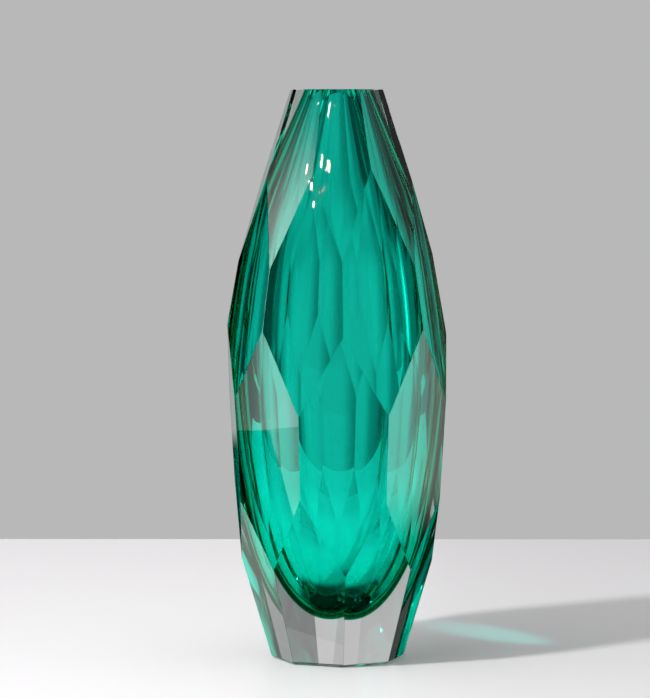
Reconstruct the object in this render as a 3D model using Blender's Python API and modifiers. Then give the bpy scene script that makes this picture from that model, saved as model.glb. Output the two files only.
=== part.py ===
"""Cut crystal vase, in metres, +Z up, standing on its base with the origin at the base centre.

Two layers of glass make the vase. The casing is thick clear crystal, cut all round with four
staggered rows of eight flat facets, and it holds a turned pocket. The coloured layer lines that
pocket, and its own hollow is the inside of the vase.
"""

import math

import bmesh
import bpy
from mathutils import Vector

MM = 0.001

# The whole vase
HEIGHT = 300 * MM
SIDES = 8
WIDEST_HEIGHT = 174 * MM

# Each row of facets: the turn of its first facet in facet steps, how far the facets lean back
# from the vertical (a negative lean undercuts), and the apothem that they have at one height.
FACET_ROWS = {
    "neck": {"turn": 0.0, "lean": 17.3, "height": HEIGHT, "apothem": 23.1 * MM},
    "shoulder": {"turn": 0.5, "lean": 9.3, "height": WIDEST_HEIGHT, "apothem": 53.2 * MM},
    "belly": {"turn": 0.0, "lean": -3.4, "height": WIDEST_HEIGHT, "apothem": 57.5 * MM},
    "foot": {"turn": 0.5, "lean": -15.5, "height": 0.0, "apothem": 32.3 * MM},
}
# The facets are cut by hand, and these stray from the even division: (proud by, turned by degrees).
HAND_CUT = {
    ("neck", 6): (1.2 * MM, 1.8),
    ("shoulder", 0): (-0.5 * MM, 0.0),
    ("shoulder", 1): (0.6 * MM, 0.8),
    ("shoulder", 2): (-1.4 * MM, 0.0),
    ("shoulder", 5): (1.5 * MM, 0.0),
    ("shoulder", 6): (0.7 * MM, 0.0),
    ("belly", 1): (-0.3 * MM, 0.5),
    ("belly", 6): (0.5 * MM, 2.0),
    ("belly", 7): (0.0, -1.7),
    ("foot", 0): (0.0, 2.0),
}

# The coloured layer's outside, an egg whose narrow end is cut off flat at the rim
CORE_BOTTOM = 26 * MM
CORE_BELLY_RADIUS = 48.4 * MM
CORE_BELLY_HEIGHT = 159 * MM
CORE_RIM_RADIUS = 11.6 * MM
CORE_BOTTOM_REACH = 38 * MM
CORE_LOWER_REACH = 37 * MM
CORE_UPPER_REACH = 72 * MM
CORE_RIM_REACH = 41 * MM
RIM_FLARE = 0.36

# The hollow inside it
WALL = 2.6 * MM
FLOOR = 3 * MM

GAP = 0.3 * MM
TURN_STEPS = 48
CURVE_STEPS = 14
OVERSHOOT = 20 * MM


def clear_scene():
    for old in list(bpy.data.objects):
        bpy.data.objects.remove(old, do_unlink=True)


def new_collection(name):
    collection = bpy.data.collections.new(name)
    bpy.context.scene.collection.children.link(collection)
    return collection


def glass(name, colour, roughness, ior):
    material = bpy.data.materials.new(name)
    material.use_nodes = True
    shader = material.node_tree.nodes["Principled BSDF"]
    shader.inputs["Base Color"].default_value = (*colour, 1.0)
    shader.inputs["Metallic"].default_value = 0.0
    shader.inputs["Roughness"].default_value = roughness
    shader.inputs["IOR"].default_value = ior
    shader.inputs["Transmission Weight"].default_value = 1.0
    material.diffuse_color = (*colour, 1.0)
    return material


def add_object(name, mesh, collection, material=None):
    made = bpy.data.objects.new(name, mesh)
    if material:
        mesh.materials.append(material)
    collection.objects.link(made)
    return made


def bezier(start, first_handle, second_handle, end, steps):
    """The points of one cubic curve in (radius, height), without its last point."""
    points = []
    for step in range(steps):
        t = step / steps
        weights = ((1 - t) ** 3, 3 * t * (1 - t) ** 2, 3 * t**2 * (1 - t), t**3)
        corners = (start, first_handle, second_handle, end)
        points.append(
            tuple(sum(w * c[axis] for w, c in zip(weights, corners)) for axis in (0, 1))
        )
    return points


def egg_outline(inset, bottom):
    """The outline from the bottom centre up to the rim, inset from the coloured layer's outside."""
    belly = (CORE_BELLY_RADIUS - inset, CORE_BELLY_HEIGHT)
    rim = (CORE_RIM_RADIUS - inset, HEIGHT)
    lower = bezier(
        (0.0, bottom),
        (CORE_BOTTOM_REACH - inset, bottom),
        (belly[0], belly[1] - CORE_LOWER_REACH),
        belly,
        CURVE_STEPS,
    )
    upper = bezier(
        belly,
        (belly[0], belly[1] + CORE_UPPER_REACH - inset),
        (rim[0] + RIM_FLARE * CORE_RIM_REACH, rim[1] - CORE_RIM_REACH),
        rim,
        CURVE_STEPS,
    )
    return lower + upper + [rim]


def turned(name, outline, collection, material=None):
    """A solid turned about Z. The outline's outer side runs from the top to the bottom."""
    mesh = bpy.data.meshes.new(name)
    vertices = [(radius, 0.0, height) for radius, height in outline]
    edges = [(index, index + 1) for index in range(len(vertices) - 1)]
    mesh.from_pydata(vertices, edges, [])
    made = add_object(name, mesh, collection, material)
    screw = made.modifiers.new("Turn", "SCREW")
    screw.axis = "Z"
    screw.steps = TURN_STEPS
    screw.render_steps = TURN_STEPS
    screw.use_merge_vertices = True
    screw.merge_threshold = 0.00001
    screw.use_smooth_shade = True
    return made


def cut_facet(bm, row, number):
    """Takes one facet off the blank, as a flat cutting wheel does."""
    cut = FACET_ROWS[row]
    proud, stray = HAND_CUT.get((row, number), (0.0, 0.0))
    azimuth = math.radians(360 / SIDES * (number + cut["turn"]) + stray)
    lean = math.radians(cut["lean"])
    outward = Vector((math.sin(azimuth), -math.cos(azimuth), 0.0))
    point = outward * (cut["apothem"] + proud) + Vector((0.0, 0.0, cut["height"]))
    normal = outward * math.cos(lean) + Vector((0.0, 0.0, math.sin(lean)))
    bmesh.ops.bisect_plane(
        bm, geom=bm.verts[:] + bm.edges[:] + bm.faces[:], plane_co=point, plane_no=normal, clear_outer=True
    )
    open_edges = [edge for edge in bm.edges if edge.is_boundary]
    bmesh.ops.holes_fill(bm, edges=open_edges, sides=0)


def faceted_blank():
    """A plain drum of crystal, cut down to the four rows of facets."""
    bm = bmesh.new()
    widest = max(row["apothem"] for row in FACET_ROWS.values()) + OVERSHOOT
    bmesh.ops.create_cone(
        bm, cap_ends=True, segments=SIDES, radius1=widest, radius2=widest, depth=HEIGHT
    )
    bmesh.ops.translate(bm, verts=bm.verts, vec=(0.0, 0.0, HEIGHT / 2))
    for row in FACET_ROWS:
        for number in range(SIDES):
            cut_facet(bm, row, number)
    bmesh.ops.recalc_face_normals(bm, faces=bm.faces)
    mesh = bpy.data.meshes.new("clear_casing")
    bm.to_mesh(mesh)
    bm.free()
    return mesh


def build_casing(parts, cutters):
    casing = add_object(
        "clear_casing", faceted_blank(), parts, glass("clear_crystal", (0.92, 0.96, 0.95), 0.02, 1.54)
    )
    pocket_outline = egg_outline(-GAP, CORE_BOTTOM - GAP)
    rim_radius = pocket_outline[-1][0]
    above = [(0.0, HEIGHT + OVERSHOOT), (rim_radius, HEIGHT + OVERSHOOT)]
    pocket = turned("pocket_cutter", above + pocket_outline[::-1], cutters)
    pocket.display_type = "WIRE"
    pocket.hide_render = True
    cut = casing.modifiers.new("Pocket", "BOOLEAN")
    cut.operation = "DIFFERENCE"
    cut.solver = "EXACT"
    cut.object = pocket
    return casing


def build_coloured_layer(parts):
    """The hollow's outline climbs from its floor to the mouth, and the outside comes back down."""
    hollow = egg_outline(WALL, CORE_BOTTOM + FLOOR)
    outside = egg_outline(0.0, CORE_BOTTOM)
    return turned(
        "green_lining", hollow + outside[::-1], parts, glass("emerald_glass", (0.0, 0.42, 0.27), 0.02, 1.54)
    )


clear_scene()
vase_parts = new_collection("cut_crystal_vase")
vase_cutters = new_collection("cutters")
build_casing(vase_parts, vase_cutters)
build_coloured_layer(vase_parts)
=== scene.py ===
"""The looks of the cut crystal vase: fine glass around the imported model, in metres, +Z up.

The casing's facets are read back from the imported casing, and get polished arrises. The turned
surfaces are made again, rounder. Azimuths are in degrees round the vase, from the camera's side
towards its right.
"""

import math
import random

import bmesh
import bpy
from mathutils import Matrix, Vector


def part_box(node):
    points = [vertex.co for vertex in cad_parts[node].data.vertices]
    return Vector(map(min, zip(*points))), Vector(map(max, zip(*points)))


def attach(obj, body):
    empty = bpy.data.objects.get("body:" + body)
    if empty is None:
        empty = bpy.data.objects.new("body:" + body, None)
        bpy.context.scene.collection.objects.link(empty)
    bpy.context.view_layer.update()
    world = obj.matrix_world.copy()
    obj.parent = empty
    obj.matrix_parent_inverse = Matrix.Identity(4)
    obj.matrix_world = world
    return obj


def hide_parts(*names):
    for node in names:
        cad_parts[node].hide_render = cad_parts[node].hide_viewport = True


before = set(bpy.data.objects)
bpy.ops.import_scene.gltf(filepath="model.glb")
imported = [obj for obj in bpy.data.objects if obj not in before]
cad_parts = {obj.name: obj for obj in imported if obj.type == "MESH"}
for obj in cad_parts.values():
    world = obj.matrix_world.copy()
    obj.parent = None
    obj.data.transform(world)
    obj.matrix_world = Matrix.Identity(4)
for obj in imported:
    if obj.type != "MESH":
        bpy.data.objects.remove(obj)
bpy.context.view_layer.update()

MM = 0.001

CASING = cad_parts["clear_casing"]
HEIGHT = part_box("clear_casing")[1].z

# The coloured layer's outline, as in the CAD design
CORE_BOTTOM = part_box("green_lining")[0].z
CORE_BELLY_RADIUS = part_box("green_lining")[1].x
CORE_BELLY_HEIGHT = 159 * MM
CORE_RIM_RADIUS = 11.6 * MM
CORE_BOTTOM_REACH = 38 * MM
CORE_LOWER_REACH = 37 * MM
CORE_UPPER_REACH = 72 * MM
CORE_RIM_REACH = 41 * MM
RIM_FLARE = 0.36
WALL = 2.6 * MM
FLOOR = 3 * MM
COLOUR_DEPTH = 1.2 * MM

# The glass. The layers touch with CONTACT_GAP between them, and their touching faces don't bend
# light. SKIN is the clear polished layer that lines the bore.
GLASS_IOR = 1.54
NO_BENDING = 1.0
GREEN_TINT = (0.97, 1.0, 0.957)
GREEN_ABSORPTION = (0.0, 0.928, 0.888)
GREEN_DENSITY = 2000.0
ARRIS = 0.22 * MM
BASE_CHAMFER = 0.8 * MM
CONTACT_GAP = 0.03 * MM
SKIN = 0.1 * MM
TURN_STEPS = 160
CURVE_STEPS = 48
CUTTER_RISE = 10 * MM
ON_AXIS = 1e-7
SAME_POINT = 0.01 * MM
FLAT_WITHIN = math.radians(0.6)
CASING_SHARP = math.radians(20)
LINING_SHARP = math.radians(30)

# Polishing: the size and depth of the ripples, and how rough the scuffs are
CRYSTAL_POLISH = (30 * MM, 0.015 * MM, 0.02)
BORE_POLISH = (12 * MM, 0.006 * MM, 0.02)
RIPPLE_DETAIL = 1.0
SCUFF_SCALE = 260.0
SCUFF_DETAIL = 6.0
SCUFF_RANGE = (0.5, 0.8)

# Seeds of air in the lining's bowl. Each centre lies at least BUBBLE_CLEARANCE radii above the
# outer surface and below the inner one, and at a drawn share of BUBBLE_REACH from the axis.
BUBBLES = 44
BUBBLE_RADII = (0.3 * MM, 0.65 * MM)
BUBBLE_REACH = 19 * MM
BUBBLE_SHARES = (0.1, 1.0)
BUBBLE_SPREAD = 0.6
BUBBLE_CLEARANCE = 1.5
BUBBLE_DRAW = 7

# Material slots: the casing's pocket, and the lining's green shell and the two sides of its skin
POCKET_SLOT = 1
GREEN_SLOT, POLISH_SLOT, BACK_SLOT = 0, 1, 2

# The camera
CAMERA_AZIMUTH = -3.64
CAMERA_DISTANCE = 1.6
CAMERA_HEIGHT = 0.276
CAMERA_AIM = (-0.0067, 0.1636)
LENS = 156.7
SENSOR = 36.0

# The studio

# The table top in pieces, square to the camera: left, right, near and far edges, whether the
# facets mirror it, and whether it is seen through the glass
TABLE = (
    (-0.80, -0.52, -0.5, -0.065, True, False),
    (-0.52, -0.25, -0.5, -0.065, True, True),
    (-0.25, 0.18, -0.5, -0.05, False, True),
    (0.18, 0.6, -0.5, -0.05, False, False),
    (-0.80, -0.52, -0.065, 0.47, False, False),
    (-0.52, -0.25, -0.065, 0.4, False, True),
    (-0.25, 0.0, -0.05, 0.3, True, True),
    (0.0, 0.6, -0.05, 0.3, False, True),
    (-0.25, 0.6, 0.3, 0.4, False, True),
    (-0.52, 0.6, 0.4, 0.47, False, False),
)
TABLE_TOP = -0.2 * MM
TABLE_COLOUR = (0.855, 0.835, 0.85)
TABLE_ROUGHNESS = 0.35
TABLE_SPECULAR = 0.2
# Light and shade painted on a sheet over the table, seen only through the glass: the painted glow's
# reach and brightness, and round the base the radii where the painted shade ends and where the
# table's light is full, with what is left of it in the painted shade
PAINTED_LIGHT_TOP = -0.1 * MM
PAINTED_TABLE_GLOW = (0.32, 0.22)
GLOW_FADES_FROM = 0.6
PAINTED_SHADE_UNDER_BASE = (0.036, 0.06, 0.12)

# The lamps: azimuth, elevation, distance and size, then radiance
KEY_LAMP = (-51, 46.2, 1.3, (0.1, 0.055))
KEY_RADIANCE = 790.0
LAMP_AIM = 0.2
# The painted highlight's red glow: how far in front of the key lamp it stands, and its radiance
CORE_IN_FRONT = 0.002
CORE_RADIANCE = 100000.0
# The bounces of a view of the lamp in the bore that get the painted highlight: one reflection, ten
# crossings of a surface
CORE_REFLECTIONS = 1.0
CORE_CROSSINGS = 10.0
# The streak in the shadow: where it falls and starts (azimuth, distance, height), its width in
# degrees, colour and power
STREAK = ((131.5, 0.113, 0.0), (55.8, 0.384, 0.15), 6.8, (0.0, 1.0, 0.82), 4.6)

# Cards round the vase: name, azimuth, distance, sides, heights, radiance, the softness of the
# sides, top and foot, lean in degrees, and whether they are seen through the glass
CARDS = (
    ("left_card", -90, 0.72, (0.012, 0.5), (0.3, 0.65), 4.6, (0.024, 0.065, 0.001), 0.0, False),
    ("low_left_card", -90, 0.72, (0.025, 0.5), (0.004, 0.29), 3.7, (0.03, 0.01, 0.001), 4.9, False),
    ("right_card", 100, 0.8, (-0.4, 0.2), (-0.1, 0.45), 1.6, (0.1, 0.2, 0.03), 0.0, False),
    ("upper_right_card", 102, 0.8, (-0.35, 0.3), (0.4, 0.85), 0.3, (0.1, 0.08, 0.03), 0.0, False),
    ("back_card", -171, 1.0, (-0.25, 0.22), (0.0, 0.7), 0.46, (0.03, 0.1, 0.01), 0.0, False),
    ("far_card", 146, 0.9, (-0.3, 0.3), (0.0, 0.45), 0.09, (0.1, 0.05, 0.01), 0.0, False),
    ("neck_shade", 139, 1.0, (-0.4, 0.4), (0.36, 0.8), 0.05, (0.04, 0.03, 0.03), 0.0, True),
    ("neck_core", 132, 0.98, (-0.16, 0.13), (0.48, 0.7), 0.015, (0.04, 0.02, 0.03), 0.0, True),
)

# What stands behind the vase, and the even light round it
BACKDROP = 0.48
ALL_ROUND = 0.25
# Patches of the surroundings, each over the ones before it: azimuths and their softness,
# elevations and theirs, and brightness
SURROUNDINGS = (
    (-105, -22, 6, 23, 62, 5, 1.30),
    (-92, -50, 5, -20, 18, 6, 0.75),
    (-50, -25, 6, -20, 18, 6, 0.40),
    (30, 58, 8, -20, 20, 6, 0.75),
    (58, 106, 6, -20, 22, 5, 1.15),
    (40, 86, 5, 24, 34, 5, 0.60),
    (88, 200, 5, 22, 60, 5, 0.09),
    (-200, -152, 6, 18, 60, 5, 0.08),
    (-146, -97, 3, -20, 19, 4, 0.07),
    (-140, -122, 4, 18, 28, 4, 0.10),
    (-150, -97, 6, 30, 50, 5, 0.75),
    (170, 200, 10, -20, 3, 6, 0.66),
    (-200, -154, 10, -20, 3, 6, 0.66),
    (178, 200, 8, 3, 14, 5, 0.56),
    (-200, -146, 3, 3, 14, 5, 0.56),
    (95, 101, 2, -10, 12, 4, 3.50),
    (-165, -125, 5, -40, -18, 3, 0.05),
    (128, 165, 6, -40, -17, 4, 0.33),
    (134, 150, 4, -12, -2, 3, 0.08),
    (-200, 200, 1, 62, 100, 6, 1.60),
)
SKY_SAMPLES = 512

# The render
MAX_BOUNCES = 48
GLOSSY_BOUNCES = 24
CLEAR_BOUNCES = 32
INDIRECT_CLAMP = 60.0


def around(azimuth, distance, height=0.0):
    """A point at an azimuth from the camera's side of the vase."""
    turn = math.radians(azimuth + CAMERA_AZIMUTH)
    return Vector((distance * math.sin(turn), -distance * math.cos(turn), height))


def add_object(name, mesh, materials):
    for material in materials:
        mesh.materials.append(material)
    made = bpy.data.objects.new(name, mesh)
    bpy.context.scene.collection.objects.link(made)
    return made


# ---------------------------------------------------------------- materials


def ripple(material, size, depth, scuffs):
    """Soft undulations that a polishing wheel or the fire leaves, and faint uneven scuffing."""
    nodes, links = material.node_tree.nodes, material.node_tree.links
    shader = nodes["Principled BSDF"]
    place = nodes.new("ShaderNodeTexCoord")
    waves = nodes.new("ShaderNodeTexNoise")
    waves.inputs["Scale"].default_value = 1.0 / size
    waves.inputs["Detail"].default_value = RIPPLE_DETAIL
    links.new(place.outputs["Object"], waves.inputs["Vector"])
    bump = nodes.new("ShaderNodeBump")
    bump.inputs["Distance"].default_value = depth
    links.new(waves.outputs["Fac"], bump.inputs["Height"])
    links.new(bump.outputs["Normal"], shader.inputs["Normal"])
    wear = nodes.new("ShaderNodeTexNoise")
    wear.inputs["Scale"].default_value = SCUFF_SCALE
    wear.inputs["Detail"].default_value = SCUFF_DETAIL
    links.new(place.outputs["Object"], wear.inputs["Vector"])
    spread = nodes.new("ShaderNodeMapRange")
    spread.inputs["From Min"].default_value = SCUFF_RANGE[0]
    spread.inputs["From Max"].default_value = SCUFF_RANGE[1]
    spread.inputs["To Max"].default_value = scuffs
    links.new(wear.outputs["Fac"], spread.inputs["Value"])
    links.new(spread.outputs["Result"], shader.inputs["Roughness"])


def glass(name, ior, tint=(1.0, 1.0, 1.0)):
    """Clear smooth glass, or with an IOR of 1 a surface that light crosses unbent."""
    material = bpy.data.materials.new(name)
    material.use_nodes = True
    shader = material.node_tree.nodes["Principled BSDF"]
    shader.inputs["Base Color"].default_value = (*tint, 1.0)
    shader.inputs["Roughness"].default_value = 0.0
    shader.inputs["IOR"].default_value = ior
    shader.inputs["Transmission Weight"].default_value = 1.0
    return material


def green_glass():
    """The coloured shell, whose volume takes out the red."""
    material = glass("emerald_glass", NO_BENDING, GREEN_TINT)
    nodes, links = material.node_tree.nodes, material.node_tree.links
    absorb = nodes.new("ShaderNodeVolumeAbsorption")
    absorb.inputs["Color"].default_value = (*GREEN_ABSORPTION, 1.0)
    absorb.inputs["Density"].default_value = GREEN_DENSITY
    links.new(absorb.outputs["Volume"], nodes["Material Output"].inputs["Volume"])
    return material


# ---------------------------------------------------------------- shapes


def bezier(start, first_handle, second_handle, end):
    """The points of one cubic curve in (radius, height), without its last point."""
    points = []
    for step in range(CURVE_STEPS):
        t = step / CURVE_STEPS
        weights = ((1 - t) ** 3, 3 * t * (1 - t) ** 2, 3 * t**2 * (1 - t), t**3)
        corners = (start, first_handle, second_handle, end)
        points.append(
            tuple(sum(w * c[axis] for w, c in zip(weights, corners)) for axis in (0, 1))
        )
    return points


def egg_outline(inset, bottom):
    """The outline from the bottom centre up to the rim, inset from the coloured layer's outside."""
    belly = (CORE_BELLY_RADIUS - inset, CORE_BELLY_HEIGHT)
    rim = (CORE_RIM_RADIUS - inset, HEIGHT)
    lower = bezier(
        (0.0, bottom),
        (CORE_BOTTOM_REACH - inset, bottom),
        (belly[0], belly[1] - CORE_LOWER_REACH),
        belly,
    )
    upper = bezier(
        belly,
        (belly[0], belly[1] + CORE_UPPER_REACH - inset),
        (rim[0] + RIM_FLARE * CORE_RIM_REACH, rim[1] - CORE_RIM_REACH),
        rim,
    )
    return lower + upper + [rim]


def add_turned(bm, outline, slots):
    """Turns an outline about Z into bm. slots gives the material slot of each of its stretches."""
    rings = []
    for radius, height in outline:
        if radius < ON_AXIS:
            rings.append([bm.verts.new((0.0, 0.0, height))])
            continue
        ring = []
        for step in range(TURN_STEPS):
            turn = 2 * math.pi * step / TURN_STEPS
            ring.append(bm.verts.new((radius * math.cos(turn), radius * math.sin(turn), height)))
        rings.append(ring)
    for index in range(len(rings) - 1):
        low, high = rings[index], rings[index + 1]
        for step in range(TURN_STEPS):
            after = (step + 1) % TURN_STEPS
            corners = [low[step % len(low)], low[after % len(low)]]
            corners += [high[after % len(high)], high[step % len(high)]]
            face = bm.faces.new(list(dict.fromkeys(corners)))
            face.smooth = True
            face.material_index = slots[index]


def facet_hull():
    """The casing's outside as flat facets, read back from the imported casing."""
    bm = bmesh.new()
    for vertex in CASING.data.vertices:
        bm.verts.new(vertex.co)
    bmesh.ops.remove_doubles(bm, verts=bm.verts, dist=SAME_POINT)
    found = bmesh.ops.convex_hull(bm, input=bm.verts)
    unused = set(found["geom_interior"] + found["geom_unused"])
    inner_verts = [item for item in unused if isinstance(item, bmesh.types.BMVert)]
    bmesh.ops.delete(bm, geom=inner_verts, context="VERTS")
    bmesh.ops.dissolve_limit(bm, angle_limit=FLAT_WITHIN, verts=bm.verts, edges=bm.edges)
    bmesh.ops.recalc_face_normals(bm, faces=bm.faces)
    return bm


def build_casing(crystal, contact):
    """The crystal: the facets with polished arrises, less the pocket for the lining."""
    bm = facet_hull()
    base = [edge for edge in bm.edges if max(vert.co.z for vert in edge.verts) < SAME_POINT]
    bmesh.ops.bevel(bm, geom=base, offset=BASE_CHAMFER, segments=1, affect="EDGES")
    bmesh.ops.bevel(bm, geom=bm.edges[:], offset=ARRIS, segments=2, profile=0.5, affect="EDGES")
    mesh = bpy.data.meshes.new("crystal_casing")
    bm.to_mesh(mesh)
    bm.free()
    casing = add_object("crystal_casing", mesh, [crystal, contact])
    cutter_bm = bmesh.new()
    outline = egg_outline(-CONTACT_GAP, CORE_BOTTOM - CONTACT_GAP)
    outline += [(outline[-1][0], HEIGHT + CUTTER_RISE), (0.0, HEIGHT + CUTTER_RISE)]
    add_turned(cutter_bm, outline, [POCKET_SLOT] * len(outline))
    bmesh.ops.recalc_face_normals(cutter_bm, faces=cutter_bm.faces)
    cutter_mesh = bpy.data.meshes.new("pocket")
    cutter_bm.to_mesh(cutter_mesh)
    cutter_bm.free()
    cutter = add_object("pocket", cutter_mesh, [crystal, contact])
    cut = casing.modifiers.new("Pocket", "BOOLEAN")
    cut.operation = "DIFFERENCE"
    cut.solver = "EXACT"
    cut.object = cutter
    graph = bpy.context.evaluated_depsgraph_get()
    final = bpy.data.meshes.new_from_object(casing.evaluated_get(graph))
    casing.modifiers.clear()
    casing.data = final
    bpy.data.objects.remove(cutter)
    final.set_sharp_from_angle(angle=CASING_SHARP)
    for face in final.polygons:
        face.use_smooth = face.material_index == POCKET_SLOT
    return casing


def height_at(outline, reach):
    """The height at which an outline's lower part is this far from the axis."""
    for (near, low), (far, high) in zip(outline, outline[1:]):
        if near <= reach <= far:
            return low + (high - low) * (reach - near) / (far - near)
    return outline[-1][1]


def add_bubbles(bm, outside, hollow):
    """Seeds of air trapped in the lining's bowl. Their normals face the air."""
    chance = random.Random(BUBBLE_DRAW)
    for _ in range(BUBBLES):
        radius = chance.uniform(*BUBBLE_RADII)
        turn = chance.uniform(0.0, 2 * math.pi)
        reach = chance.uniform(*BUBBLE_SHARES) ** BUBBLE_SPREAD * BUBBLE_REACH
        low, high = height_at(outside, reach), height_at(hollow, reach)
        margin = radius * BUBBLE_CLEARANCE
        height = chance.uniform(low + margin, high - margin)
        place = Matrix.Translation((reach * math.cos(turn), reach * math.sin(turn), height))
        made = bmesh.ops.create_icosphere(bm, subdivisions=2, radius=radius, matrix=place)
        faces = {face for vert in made["verts"] for face in vert.link_faces}
        bmesh.ops.reverse_faces(bm, faces=list(faces))
        for face in faces:
            face.smooth = True
            face.material_index = POLISH_SLOT


def kept_below(outline, top):
    """An outline with nothing higher than top."""
    return [(radius, min(height, top)) for radius, height in outline]


def build_lining(green, polish, contact):
    """The coloured layer: a green shell with a clear polished skin on the inside and the rim."""
    bm = bmesh.new()
    hollow = egg_outline(WALL, CORE_BOTTOM + FLOOR)
    back = egg_outline(WALL - SKIN, CORE_BOTTOM + FLOOR - SKIN)
    inner = egg_outline(COLOUR_DEPTH, CORE_BOTTOM + FLOOR - 2 * SKIN)
    outside = egg_outline(0.0, CORE_BOTTOM)
    green_outline = kept_below(inner + outside[::-1], HEIGHT - SKIN - CONTACT_GAP)
    add_turned(bm, green_outline, [GREEN_SLOT] * len(green_outline))
    # The skin's air side climbs the hollow and covers the rim, and its back side comes back down
    rim_radius = outside[-1][0]
    skin = hollow + [(rim_radius, HEIGHT), (rim_radius, HEIGHT - SKIN)]
    skin += kept_below(back[::-1], HEIGHT - SKIN)
    slots = [POLISH_SLOT] * (len(hollow) + 1) + [BACK_SLOT] * len(back)
    add_turned(bm, skin, slots)
    bmesh.ops.recalc_face_normals(bm, faces=bm.faces)
    add_bubbles(bm, outside, hollow)
    mesh = bpy.data.meshes.new("emerald_lining")
    bm.to_mesh(mesh)
    bm.free()
    lining = add_object("emerald_lining", mesh, [green, polish, contact])
    mesh.set_sharp_from_angle(angle=LINING_SHARP)
    return lining


# ---------------------------------------------------------------- studio


def math_node(tree, operation, *values):
    made = tree.nodes.new("ShaderNodeMath")
    made.operation = operation
    for socket, value in zip(made.inputs, values):
        if isinstance(value, (int, float)):
            socket.default_value = value
        else:
            tree.links.new(value, socket)
    return made.outputs[0]


def fade_out(tree, value, start, end):
    """1 at the start, falling smoothly to 0 at the end."""
    ramp = tree.nodes.new("ShaderNodeMapRange")
    ramp.interpolation_type = "SMOOTHSTEP"
    tree.links.new(value, ramp.inputs["Value"])
    ramp.inputs["From Min"].default_value = end
    ramp.inputs["From Max"].default_value = start
    return ramp.outputs["Result"]


def window(tree, value, low, high, soft):
    """1 between low and high, falling smoothly to 0 within soft on each side."""
    above = fade_out(tree, value, low + soft, low - soft)
    below = fade_out(tree, value, high - soft, high + soft)
    return math_node(tree, "MULTIPLY", above, below)


def flat(name, left, right, near, far, height, material):
    """A level sheet, square to the camera."""
    bm = bmesh.new()
    corners = [(left, near), (right, near), (right, far), (left, far)]
    bm.faces.new([bm.verts.new((x, y, height)) for x, y in corners])
    mesh = bpy.data.meshes.new(name)
    bm.to_mesh(mesh)
    bm.free()
    made = add_object(name, mesh, [material])
    made.rotation_euler.z = math.radians(CAMERA_AZIMUTH)
    return made


def add_floor():
    """A table top whose far edge is the horizon."""
    material = bpy.data.materials.new("pale_floor")
    material.use_nodes = True
    shader = material.node_tree.nodes["Principled BSDF"]
    shader.inputs["Base Color"].default_value = (*TABLE_COLOUR, 1.0)
    shader.inputs["Roughness"].default_value = TABLE_ROUGHNESS
    shader.inputs["Specular IOR Level"].default_value = TABLE_SPECULAR
    for number, (left, right, near, far, mirrored, seen_through) in enumerate(TABLE):
        floor = flat("floor_%d" % number, left, right, near, far, TABLE_TOP, material)
        floor.visible_glossy = mirrored
        floor.visible_transmission = seen_through


def add_painted_table_light():
    """A sheet over the table, seen only through the glass, with painted light and painted shade for
    what the vase does to the table's light: a painted glow round the foot, and painted shade under
    the base."""
    reach, brightness = PAINTED_TABLE_GLOW
    dark_to, clear_from, darkest = PAINTED_SHADE_UNDER_BASE
    material = bpy.data.materials.new("painted_table_light")
    material.use_nodes = True
    tree = material.node_tree
    place = tree.nodes.new("ShaderNodeTexCoord")
    away = tree.nodes.new("ShaderNodeVectorMath")
    away.operation = "LENGTH"
    tree.links.new(place.outputs["Object"], away.inputs[0])
    # Painted light: the sheet glows round the foot, fading out towards its edge and gone under the
    # base
    fade = fade_out(tree, away.outputs["Value"], GLOW_FADES_FROM * reach, reach)
    lit = fade_out(tree, away.outputs["Value"], clear_from, dark_to)
    light = tree.nodes.new("ShaderNodeEmission")
    glow = math_node(tree, "MULTIPLY", math_node(tree, "MULTIPLY", fade, lit), brightness)
    tree.links.new(glow, light.inputs["Strength"])
    # Painted shade: under the base the sheet lets less of the table through
    clear = tree.nodes.new("ShaderNodeBsdfTransparent")
    shade = math_node(tree, "MULTIPLY_ADD", lit, 1.0 - darkest, darkest)
    tree.links.new(shade, clear.inputs["Color"])
    both = tree.nodes.new("ShaderNodeAddShader")
    tree.links.new(light.outputs[0], both.inputs[0])
    tree.links.new(clear.outputs[0], both.inputs[1])
    tree.links.new(both.outputs[0], tree.nodes["Material Output"].inputs["Surface"])
    sheet = flat("painted_table_light", -reach, reach, -reach, reach, PAINTED_LIGHT_TOP, material)
    sheet.visible_camera = False
    sheet.visible_diffuse = False
    sheet.visible_glossy = False
    sheet.visible_shadow = False


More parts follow.
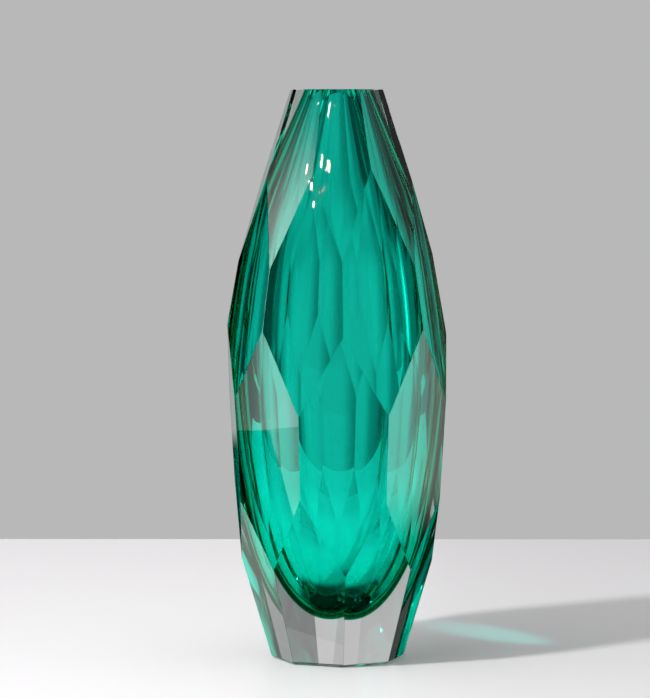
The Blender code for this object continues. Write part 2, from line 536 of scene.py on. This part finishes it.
def add_card(name, azimuth, distance, sides, heights, radiance, soft, lean, through):
    """A card with soft edges. It glows for the vase's first surface only, or, with through, it
    shades what is seen through the glass."""
    bm = bmesh.new()
    left, right = sides
    low, high = heights
    corners = [(left, low), (right, low), (right, high), (left, high)]
    bm.faces.new([bm.verts.new((x, 0.0, z)) for x, z in corners])
    mesh = bpy.data.meshes.new(name)
    bm.to_mesh(mesh)
    bm.free()
    material = bpy.data.materials.new(name)
    material.use_nodes = True
    tree = material.node_tree
    place = tree.nodes.new("ShaderNodeTexCoord")
    split = tree.nodes.new("ShaderNodeSeparateXYZ")
    tree.links.new(place.outputs["Object"], split.inputs[0])
    soft_sides, soft_top, soft_foot = soft
    across = window(tree, split.outputs["X"], left + soft_sides, right - soft_sides, soft_sides)
    top = fade_out(tree, split.outputs["Z"], high - 2 * soft_top, high)
    foot = fade_out(tree, split.outputs["Z"], low + 2 * soft_foot, low)
    up = math_node(tree, "MULTIPLY", top, foot)
    level = math_node(tree, "MULTIPLY", across, up)
    glow = tree.nodes.new("ShaderNodeEmission")
    surface = tree.nodes["Material Output"].inputs["Surface"]
    if through:
        glow.inputs["Strength"].default_value = radiance
        mix = tree.nodes.new("ShaderNodeMixShader")
        tree.links.new(level, mix.inputs[0])
        tree.links.new(tree.nodes.new("ShaderNodeBsdfTransparent").outputs[0], mix.inputs[1])
        tree.links.new(glow.outputs[0], mix.inputs[2])
        tree.links.new(mix.outputs[0], surface)
    else:
        strength = math_node(tree, "MULTIPLY", level, radiance)
        tree.links.new(strength, glow.inputs["Strength"])
        tree.links.new(glow.outputs[0], surface)
    card = add_object(name, mesh, [material])
    card.location = around(azimuth, distance)
    card.rotation_euler = (0.0, math.radians(lean), math.radians(azimuth + CAMERA_AZIMUTH))
    card.visible_camera = False
    card.visible_diffuse = False
    card.visible_glossy = not through
    card.visible_transmission = through
    card.visible_shadow = False


def turned_to_vase(made, azimuth, elevation, distance):
    """Places an object round the vase and points it at LAMP_AIM's height on the axis."""
    rise = math.radians(elevation)
    made.location = around(azimuth, distance * math.cos(rise), LAMP_AIM + distance * math.sin(rise))
    towards = Vector((0.0, 0.0, LAMP_AIM)) - made.location
    made.rotation_mode = "QUATERNION"
    made.rotation_quaternion = towards.to_track_quat("-Z", "Y")


def add_lamp(name, azimuth, elevation, distance, size, radiance):
    """A small bright lamp that lights the table and is seen through the glass."""
    data = bpy.data.lights.new(name, "AREA")
    data.shape = "RECTANGLE"
    data.size, data.size_y = size
    data.energy = radiance * math.pi * size[0] * size[1]
    lamp = bpy.data.objects.new(name, data)
    turned_to_vase(lamp, azimuth, elevation, distance)
    lamp.visible_camera = False
    lamp.visible_glossy = False
    bpy.context.scene.collection.objects.link(lamp)


def add_streak(place, start, width, colour, power):
    """The streak of green light that the vase throws into its own shadow."""
    data = bpy.data.lights.new("streak", "SPOT")
    data.energy = power
    data.color = colour
    data.spot_size = math.radians(width)
    data.spot_blend = 1.0
    data.use_shadow = False
    lamp = bpy.data.objects.new("streak", data)
    lamp.location = around(*start)
    lamp.rotation_mode = "QUATERNION"
    lamp.rotation_quaternion = (around(*place) - lamp.location).to_track_quat("-Z", "Y")
    lamp.visible_camera = False
    lamp.visible_glossy = False
    lamp.visible_transmission = False
    bpy.context.scene.collection.objects.link(lamp)


def add_painted_glare(azimuth, elevation, distance, size, radiance):
    """The lamp's glare, as a painted highlight: its image in the bore is too bright to keep the
    glass's colour, so this red glow, which is no lamp, gives back the red that the green glass
    takes out."""
    wide, tall = size[0] / 2, size[1] / 2
    bm = bmesh.new()
    corners = [(-wide, -tall), (wide, -tall), (wide, tall), (-wide, tall)]
    bm.faces.new([bm.verts.new((x, y, 0.0)) for x, y in corners])
    mesh = bpy.data.meshes.new("painted_glare")
    bm.to_mesh(mesh)
    bm.free()
    material = bpy.data.materials.new("painted_glare")
    material.use_nodes = True
    material.cycles.emission_sampling = "NONE"
    tree = material.node_tree
    # Painted highlight: the red glow shows only along one reflection and ten crossings of a surface
    paths = tree.nodes.new("ShaderNodeLightPath")
    once = math_node(tree, "COMPARE", paths.outputs["Glossy Depth"], CORE_REFLECTIONS, 0.5)
    deep = math_node(tree, "COMPARE", paths.outputs["Transmission Depth"], CORE_CROSSINGS, 0.5)
    strength = math_node(tree, "MULTIPLY", math_node(tree, "MULTIPLY", once, deep), radiance)
    light = tree.nodes.new("ShaderNodeEmission")
    light.inputs["Color"].default_value = (1.0, 0.0, 0.0, 1.0)
    tree.links.new(strength, light.inputs["Strength"])
    clear = tree.nodes.new("ShaderNodeBsdfTransparent")
    both = tree.nodes.new("ShaderNodeAddShader")
    tree.links.new(light.outputs[0], both.inputs[0])
    tree.links.new(clear.outputs[0], both.inputs[1])
    tree.links.new(both.outputs[0], tree.nodes["Material Output"].inputs["Surface"])
    core = add_object("painted_glare", mesh, [material])
    turned_to_vase(core, azimuth, elevation, distance)
    core.visible_camera = False
    core.visible_diffuse = False
    core.visible_glossy = False
    core.visible_shadow = False


def add_world():
    """A plain backdrop for the camera, and soft patches of light and shade round the glass."""
    world = bpy.data.worlds.new("studio")
    world.use_nodes = True
    tree = world.node_tree
    place = tree.nodes.new("ShaderNodeTexCoord")
    split = tree.nodes.new("ShaderNodeSeparateXYZ")
    tree.links.new(place.outputs["Generated"], split.inputs[0])
    x, y, z = split.outputs
    turned_by = math.radians(CAMERA_AZIMUTH)
    azimuth = math_node(tree, "ARCTAN2", x, math_node(tree, "MULTIPLY", y, -1.0))
    azimuth = math_node(tree, "SUBTRACT", azimuth, turned_by)
    azimuth = math_node(tree, "WRAP", azimuth, math.pi, -math.pi)
    azimuth = math_node(tree, "DEGREES", azimuth)
    elevation = math_node(tree, "DEGREES", math_node(tree, "ARCSINE", z))
    level = math_node(tree, "ADD", ALL_ROUND, 0.0)
    for start, end, soft_sides, low, high, soft_ends, brightness in SURROUNDINGS:
        across = window(tree, azimuth, start, end, soft_sides)
        up = window(tree, elevation, low, high, soft_ends)
        part = math_node(tree, "MULTIPLY", across, up)
        mix = tree.nodes.new("ShaderNodeMix")
        mix.data_type = "FLOAT"
        tree.links.new(part, mix.inputs["Factor"])
        tree.links.new(level, mix.inputs["A"])
        mix.inputs["B"].default_value = brightness
        level = mix.outputs["Result"]
    paths = tree.nodes.new("ShaderNodeLightPath")
    plain = tree.nodes.new("ShaderNodeMix")
    plain.data_type = "FLOAT"
    tree.links.new(paths.outputs["Is Camera Ray"], plain.inputs["Factor"])
    tree.links.new(level, plain.inputs["A"])
    plain.inputs["B"].default_value = BACKDROP
    background = tree.nodes["Background"]
    background.inputs["Color"].default_value = (1.0, 1.0, 1.0, 1.0)
    tree.links.new(plain.outputs["Result"], background.inputs["Strength"])
    world.cycles_visibility.glossy = False
    world.cycles.sampling_method = "MANUAL"
    world.cycles.sample_map_resolution = SKY_SAMPLES
    bpy.context.scene.world = world


def add_camera():
    data = bpy.data.cameras.new("camera")
    data.lens = LENS
    data.sensor_width = SENSOR
    camera = bpy.data.objects.new("camera", data)
    camera.location = around(0.0, CAMERA_DISTANCE, CAMERA_HEIGHT)
    turn = math.radians(CAMERA_AZIMUTH)
    aim = Vector((CAMERA_AIM[0] * math.cos(turn), CAMERA_AIM[0] * math.sin(turn), CAMERA_AIM[1]))
    camera.rotation_mode = "QUATERNION"
    camera.rotation_quaternion = (aim - camera.location).to_track_quat("-Z", "Y")
    bpy.context.scene.collection.objects.link(camera)
    bpy.context.scene.camera = camera


crystal = glass("clear_crystal", GLASS_IOR)
contact = glass("glass_contact", NO_BENDING)
polish = glass("polished_bore", GLASS_IOR)
green = green_glass()
ripple(crystal, *CRYSTAL_POLISH)
ripple(polish, *BORE_POLISH)

casing = build_casing(crystal, contact)
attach(casing, "root")
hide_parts("clear_casing")
lining = build_lining(green, polish, contact)
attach(lining, "root")
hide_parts("green_lining")

add_floor()
# A painted glow and painted shade on the table, seen only through the glass
add_painted_table_light()
for card in CARDS:
    add_card(*card)
add_lamp("key", *KEY_LAMP, KEY_RADIANCE)
lamp_azimuth, lamp_elevation, lamp_distance, lamp_size = KEY_LAMP
# A painted highlight: a red glow just in front of the key lamp, seen only in the bore
add_painted_glare(
    lamp_azimuth, lamp_elevation, lamp_distance - CORE_IN_FRONT, lamp_size, CORE_RADIANCE
)
add_streak(*STREAK)
add_world()
add_camera()

scene = bpy.context.scene
scene.view_settings.view_transform = "Standard"
scene.cycles.max_bounces = MAX_BOUNCES
scene.cycles.transmission_bounces = MAX_BOUNCES
scene.cycles.glossy_bounces = GLOSSY_BOUNCES
scene.cycles.transparent_max_bounces = CLEAR_BOUNCES
scene.cycles.sample_clamp_indirect = INDIRECT_CLAMP
scene.cycles.use_denoising = True
